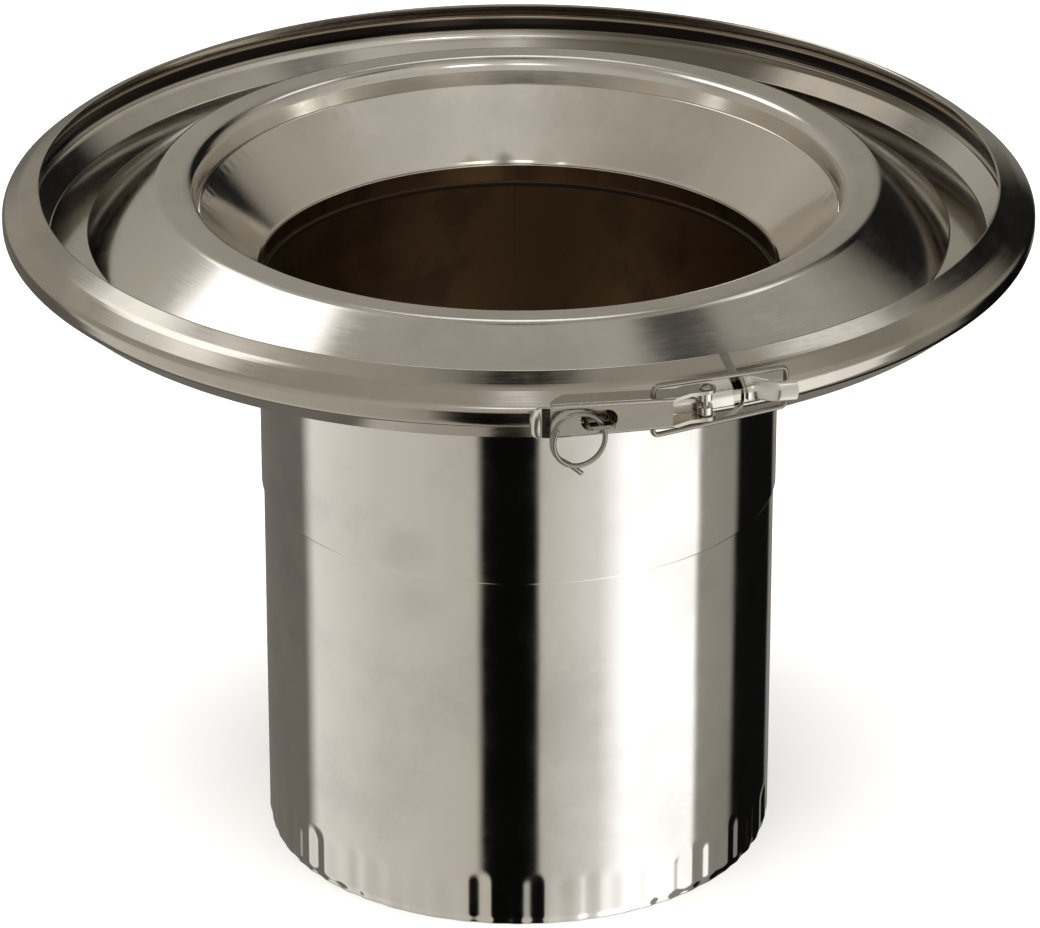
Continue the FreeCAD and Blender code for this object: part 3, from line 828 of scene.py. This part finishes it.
def latch_lever(material):
    """Channel hollowed out of its outer shape, open at the face between the ears, with a finger tab."""
    lever = prism("latch_lever_pressed", lever_plan(), -LEVER_HALF, LEVER_HALF)
    round_face_edges(lever, LEVER_FACE, 1.25, 5)
    under, past = LEVER_FACE - LEVER_SHEET, LEVER_FACE + 2
    left, right, behind = -21.0, 30.0, 142.0
    hollow = [(left, under), (LEVER_RIGHT, under), (LEVER_RIGHT, past), (right, past), (right, behind),
              (left, behind)]
    inside, through = LEVER_HALF - LEVER_SHEET, 8
    cut(lever, prism("hollow", hollow, -inside, inside))
    cut(lever, prism("pin_hole", disc(PIVOT, 1.17, 32), -through, through))
    cut(lever, prism("bail_hole", disc(BAIL_PIVOT, WIRE_R + 0.07, 24), -through, through))
    cut(lever, slot_cutter())
    join_solid(lever, finger_tab())
    bevel(lever, 0.13, 3)
    taper(lever)
    return settle(lever, "lever", "latch_lever", material)


def finger_tab():
    """Joggled tab: it dips behind the face and lifts again at its rounded end."""
    end, end_radius, thickness = -24.4, 2.6, 0.95
    middle = LEVER_FACE - 0.5
    points = [(-17.9, middle), (-19.0, middle), (-21.5, middle - 0.55), (-24.45, middle + 0.7)]
    path = split_runs(rounded_path(points, [1.2, 1.6], 6.0), 0.35)
    widths = [LEVER_HALF - 0.5 - tab_round(point.x, end, end_radius) for point in path]
    return swept_strip("tab", path, thickness, widths)


def tab_round(along, end, radius):
    """How much narrower the tab is near its end, for corners of that radius."""
    reach = along - end
    if reach >= radius:
        return 0.0
    return radius - math.sqrt(max(0.0, radius ** 2 - (radius - max(reach, 0.05)) ** 2))


def slot_cutter():
    """Long round-ended plug through the lever's face."""
    bm = bmesh.new()
    half, radius, steps = 2.35, 2.65, 16
    outline = []
    for centre, first in ((SLOT_ALONG + half, -90), (SLOT_ALONG - half, 90)):
        for i in range(steps + 1):
            turn = math.radians(first + 180 * i / steps)
            outline.append((centre + radius * math.cos(turn), radius * math.sin(turn)))
    near = [bm.verts.new(latch_point(s, LEVER_FACE + 2, h)) for s, h in outline]
    far = [bm.verts.new(latch_point(s, LEVER_FACE - 3, h)) for s, h in outline]
    bm.faces.new(near)
    bm.faces.new(far[::-1])
    for i in range(len(outline)):
        j = (i + 1) % len(outline)
        bm.faces.new((near[i], far[i], far[j], near[j]))
    return finish_mesh(bm, "slot")


def latch_frame(point):
    """Back from metres to the latch frame's (along, out, height)."""
    angle = math.radians(LATCH_AZ)
    x, y, z = point / MM
    along = x * math.cos(angle) + y * math.sin(angle)
    out = x * math.sin(angle) - y * math.cos(angle)
    return along, out, z - LATCH_Z


def round_face_edges(obj, face, radius, segments):
    """Rounds the two long bends between the face and the flanges."""
    bm = bmesh.new()
    bm.from_mesh(obj.data)
    chosen = []
    for edge in bm.edges:
        ends = [latch_frame(v.co) for v in edge.verts]
        on_face = all(abs(e[1] - face) < 0.01 for e in ends)
        long_one = abs(ends[0][2] - ends[1][2]) < 0.01
        if on_face and long_one:
            chosen.append(edge)
    bmesh.ops.bevel(bm, geom=chosen, offset=radius * MM, segments=segments, affect="EDGES", profile=0.5)
    bm.to_mesh(obj.data)
    bm.free()


def taper(obj):
    """Widens the lever towards its tab."""
    for vertex in obj.data.vertices:
        along, out, height = latch_frame(vertex.co)
        vertex.co = latch_point(along, out, height * lever_half_at(along) / LEVER_HALF)


def lever_pin(material):
    """Rivet with a domed head at each end, turned about its own axis."""
    half = LEVER_HALF + 0.08
    head, shank, count = 2.01, 1.1, 40
    dome, dome_below, dome_steps = 2.6, 1.65, 8
    profile = [(0.0, half + dome - dome_below)]
    for i in range(1, dome_steps + 1):
        turn = math.acos(dome_below / dome) * i / dome_steps
        profile.append((dome * math.sin(turn), half - dome_below + dome * math.cos(turn)))
    profile += [(head - 0.06, half), (shank, half)]
    profile += [(r, -h) for r, h in reversed(profile)]
    bm = bmesh.new()
    rings = []
    for radius, height in profile:
        ring = []
        for i in range(count if radius else 1):
            turn = 2 * math.pi * i / count
            s = PIVOT[0] + radius * math.cos(turn)
            d = PIVOT[1] + radius * math.sin(turn)
            ring.append(bm.verts.new(latch_point(s, d, height)))
        rings.append(ring)
    for a, b in zip(rings, rings[1:]):
        for i in range(count):
            j = (i + 1) % count
            if len(a) == 1:
                bm.faces.new((a[0], b[i], b[j]))
            elif len(b) == 1:
                bm.faces.new((a[i], a[j], b[0]))
            else:
                bm.faces.new((a[i], a[j], b[j], b[i]))
    pin = finish_mesh(bm, "lever_pin_rivet")
    return settle(pin, "adaptor", "lever_pin", material)


def wire_path(points, radii, step=10.0, longest=1.5):
    """Rounded latch-frame path (along, out, height), in metres."""
    path = split_runs(rounded_path(points, radii, step), longest)
    return [latch_point(*p) for p in path]


def bail_wire(material):
    """Wire loop from one flange's hole, round behind the catch and back to the other flange."""
    inner = LEVER_HALF - LEVER_SHEET - 0.6
    half_at_lever, half_at_catch = 7.2, 5.7
    points = []
    for side in (1, -1):
        leg = [(*BAIL_PIVOT, side * inner), (*BAIL_PIVOT, side * half_at_lever), (*HOOK, side * half_at_catch)]
        points += leg if side > 0 else leg[::-1]
    path = wire_path(points, [1.7, 1.5, 1.5, 1.7])
    bail = round_bar("bail_wire_bent", path, WIRE_R, 20, ball_ends=True)
    return settle(bail, "bail", "bail_wire", material)


def ring_staple(material):
    """Wire staple out through the lever's slot, rooted in a pressed cradle behind the face."""
    cradle_sheet, cradle_half, cradle_depth = 0.8, 2.9, 4.4
    foot = LEVER_FACE - LEVER_SHEET - cradle_sheet / 2
    floor_out = foot - cradle_depth
    left, right = SLOT_ALONG - 3.45, SLOT_ALONG + 3.45
    points = [(left, floor_out, STAPLE_HEIGHT), (left, STAPLE_OUT, STAPLE_HEIGHT),
              (right, STAPLE_OUT, STAPLE_HEIGHT), (right, floor_out, STAPLE_HEIGHT)]
    staple = round_bar("ring_staple_bent", wire_path(points, [1.1, 1.1], 9.0, 0.8), 0.6, 20)
    side = [(6.8, foot), (5.5, foot), (5.2, floor_out)]
    corners = [(SLOT_ALONG - reach, out) for reach, out in side]
    corners += [(SLOT_ALONG + reach, out) for reach, out in reversed(side)]
    path = split_runs(rounded_path(corners, [0.5, 0.8, 0.8, 0.5], 12.0), 1.0)
    join_solid(staple, swept_strip("cradle", path, cradle_sheet, [cradle_half] * len(path)))
    return settle(staple, "lever", "ring_staple", material)


def safety_ring(material):
    """Split ring of a turn and a quarter behind the staple, with a straight tail."""
    radius, wire, turns = 7.3, 0.68, 1.27
    pitch = 2.16 * wire
    start, crossing, twist = 114.0, 28.0, 8.0
    hang_along, hang_in = 0.35, 1.8
    tail = Vector((-1.7, -5.2, 0))
    points = [Vector((-radius, 0, 0)) + tail * share for share in (1.0, 0.7, 0.4, 0.15)]
    count = 110
    for i in range(2, count + 1):
        turn = math.pi - 2 * math.pi * turns * i / count
        points.append(Vector((radius * math.cos(turn), radius * math.sin(turn), pitch * turns * i / count)))
    level = -pitch * (360 - start - crossing) / 360
    flat = (Matrix.Rotation(math.radians(90), 4, "X") @ Matrix.Translation((0, 0, level))
            @ Matrix.Rotation(math.radians(180 - start), 4, "Z"))
    lean = math.radians(crossing)
    centre = Vector((-radius * math.cos(lean), 0, -radius * math.sin(lean)))
    place = (Matrix.Translation((0, 0, LATCH_Z)) @ Matrix.Rotation(math.radians(LATCH_AZ), 4, "Z")
             @ Matrix.Translation((SLOT_ALONG + hang_along, hang_in - STAPLE_OUT, STAPLE_HEIGHT))
             @ Matrix.Rotation(math.radians(twist), 4, "Z") @ Matrix.Translation(centre) @ flat)
    path = [(place @ p) * MM for p in points]
    ring = round_bar("safety_ring_wound", path, wire, 20, ball_ends=True)
    return settle(ring, "ring", "safety_ring", material)


# ---------------------------------------------------------------- studio

def direction_of(azimuth, elevation):
    a, e = math.radians(azimuth), math.radians(elevation)
    return Vector((math.sin(a) * math.cos(e), -math.cos(a) * math.cos(e), math.sin(e)))


def above(tree, height, start, end):
    """0 below one elevation and 1 above another, in degrees."""
    return smooth(tree, height, math.sin(math.radians(start)), math.sin(math.radians(end)))


# What polished steel mirrors below the horizon: (azimuth in degrees, colour).
LOW_FIELDS = [
    (-180, grey(0.17, 0.12)), (-113, grey(0.15, 0.12)), (-105, grey(0.80, 0.05)), (-66, grey(0.60, 0.07)),
    (-19, grey(0.50, 0.12)), (-16, grey(0.003)), (8, grey(0.003)), (10, grey(0.53, 0.09)),
    (36, grey(0.78, 0.04)), (50, grey(1.45, 0.0)), (86, grey(1.40, 0.0)), (89, grey(0.30, 0.12)),
    (112, grey(0.26, 0.12)), (116, grey(0.005)), (156, grey(0.005)), (161, grey(0.22, 0.12)),
]
# The same a little above the horizon.
MIDDLE_FIELDS = [
    (-180, grey(0.33, 0.13)), (-160, grey(0.34, 0.13)), (-144, grey(0.40, 0.12)), (-128, grey(0.46, 0.12)),
    (-104, grey(0.40, 0.12)), (-60, grey(0.50, 0.10)), (0, grey(0.60, 0.08)), (60, grey(0.55, 0.10)),
    (100, grey(0.42, 0.12)), (121, grey(0.36, 0.14)), (133, grey(0.24, 0.14)), (139, grey(0.01)),
    (158, grey(0.01)), (165, grey(0.27, 0.13)), (180, grey(0.33, 0.13)),
]
# The same well above it.
HIGH_FIELDS = [
    (-180, grey(0.30, 0.12)), (-140, grey(0.46, 0.10)), (-118, grey(0.48, 0.10)), (-104, grey(0.36, 0.12)),
    (-55, grey(0.42, 0.12)), (-25, grey(0.52, 0.10)), (0, grey(0.64, 0.07)), (50, grey(0.62, 0.07)),
    (76, grey(0.58, 0.08)), (96, grey(0.42, 0.12)), (112, grey(0.33, 0.13)), (135, grey(0.40, 0.12)),
    (150, grey(0.28, 0.12)), (180, grey(0.30, 0.12)),
]
ZENITH = grey(0.42, 0.11)
# Soft boxes and flags overhead: azimuth, elevation, inner and outer half-angle, colour.
SOFT_PATCHES = [
    (180, 80, 4.0, 6.3, grey(0.01)),
    (180, 50, 4.0, 9.0, grey(1.7, 0.0)),
    (-136, 43, 3, 9, grey(1.6, 0.0)),
    (-115, 54, 5, 12, grey(2.3, 0.0)),
    (132, 53, 3, 9, grey(1.35, 0.0)),
    (98, 66, 3, 9, grey(0.08, 0.05)),
    (22, 47, 3, 8, grey(2.6, 0.0)),
    (-4, 47, 3, 8, grey(1.9, 0.0)),
    (-123, 46, 4, 10, grey(2.0, 0.0)),
    (0, 75, 1.5, 4, grey(1.2, 0.0)),
]


def azimuth_stops(fields):
    return [((azimuth + 180.0) / 360.0, value) for azimuth, value in fields]


def studio_world():
    """White studio with grey sides and black flags, so that polished steel has something to mirror."""
    world = bpy.data.worlds.new("studio")
    scene.world = world
    world.use_nodes = True
    tree = world.node_tree
    background = tree.nodes["Background"]
    way = add(tree, "ShaderNodeTexCoord").outputs["Generated"]
    parts = add(tree, "ShaderNodeSeparateXYZ", (way,)).outputs
    minus_y = calc(tree, "MULTIPLY", parts[1], -1.0)
    turn = calc(tree, "ARCTAN2", parts[0], minus_y)
    round_share = calc(tree, "MULTIPLY_ADD", turn, 1 / (2 * math.pi), 0.5)
    colour = ramp(tree, round_share, azimuth_stops(LOW_FIELDS))
    for fields, start, end in ((MIDDLE_FIELDS, -9, 7), (HIGH_FIELDS, 33, 46)):
        layer = ramp(tree, round_share, azimuth_stops(fields))
        colour = blend(tree, above(tree, parts[2], start, end), colour, layer)
    colour = blend(tree, above(tree, parts[2], 66, 80), colour, ZENITH)
    for azimuth, elevation, inner, outer, value in SOFT_PATCHES:
        aim = direction_of(azimuth, elevation)
        near = add(tree, "ShaderNodeVectorMath", (way, aim), operation="DOT_PRODUCT").outputs["Value"]
        mask = smooth(tree, near, math.cos(math.radians(outer)), math.cos(math.radians(inner)))
        colour = blend(tree, mask, colour, value)
    tree.links.new(colour, background.inputs["Color"])
    background.inputs["Strength"].default_value = 1.0


def plain_material(name, colour, roughness, grain):
    material = bpy.data.materials.new(name)
    material.use_nodes = True
    tree = material.node_tree
    shader = tree.nodes["Principled BSDF"]
    place = add(tree, "ShaderNodeTexCoord").outputs["Object"]
    cloud = noise(tree, place, grain, 4.0)
    tree.links.new(blend(tree, cloud, tuple(0.97 * c for c in colour), colour), shader.inputs["Base Color"])
    shader.inputs["Roughness"].default_value = roughness
    return material


def floor():
    """Pale floor that the steel doesn't mirror."""
    size = 6.0
    bm = bmesh.new()
    corners = [bm.verts.new((x * size, y * size, 0.0)) for x, y in ((-1, -1), (1, -1), (1, 1), (-1, 1))]
    bm.faces.new(corners)
    obj = finish_mesh(bm, "floor")
    obj.data.materials.append(plain_material("pale floor", (0.93, 0.93, 0.925), 0.9, 8.0))
    obj.visible_glossy = False


def soft_light(name, azimuth, elevation, distance, size, power):
    """Round lamp aimed at the part: it lights the floor, while the steel mirrors the studio instead."""
    data = bpy.data.lights.new(name, "AREA")
    data.shape = "DISK"
    data.size = size
    data.energy = power
    obj = bpy.data.objects.new(name, data)
    target = Vector((0, 0, 0.1))
    obj.location = target + direction_of(azimuth, elevation) * distance
    obj.rotation_euler = (target - obj.location).to_track_quat("-Z", "Y").to_euler()
    obj.visible_glossy = False
    scene.collection.objects.link(obj)


CAMERA_ELEVATION = 25.05
CAMERA_DISTANCE = 1.7734
CAMERA_TARGET = Vector((0, 0, 0.1132))
CAMERA_LENS = 208.5
CAMERA_SHIFT = 0.00125


def camera():
    data = bpy.data.cameras.new("camera")
    data.lens = CAMERA_LENS
    data.shift_x = CAMERA_SHIFT
    obj = bpy.data.objects.new("camera", data)
    obj.location = CAMERA_TARGET + direction_of(0, CAMERA_ELEVATION) * CAMERA_DISTANCE
    obj.rotation_euler = Euler((math.radians(90 - CAMERA_ELEVATION), 0, 0))
    scene.collection.objects.link(obj)
    scene.camera = obj


def main():
    scene.view_settings.view_transform = "Standard"
    spigot_tube()
    collar_sleeve()
    funnel_cone()
    top_plate()
    locking_band()
    gap_tongue()
    latch = latch_material("latch steel", (0.46, 0.425, 0.37), 0.2)
    catch = latch_material("bright catch steel", (0.80, 0.765, 0.71), 0.28)
    wire = wire_material()
    lever_bracket(catch)
    catch_hook(catch)
    latch_lever(latch)
    lever_pin(latch)
    bail_wire(wire)
    ring_staple(wire)
    safety_ring(wire)
    studio_world()
    floor()
    soft_light("overhead", azimuth=0, elevation=84, distance=2.6, size=3.8, power=96)
    soft_light("side", azimuth=-60, elevation=50, distance=2.4, size=2.8, power=36)
    soft_light("fill", azimuth=70, elevation=45, distance=2.4, size=2.8, power=36)
    camera()


main()
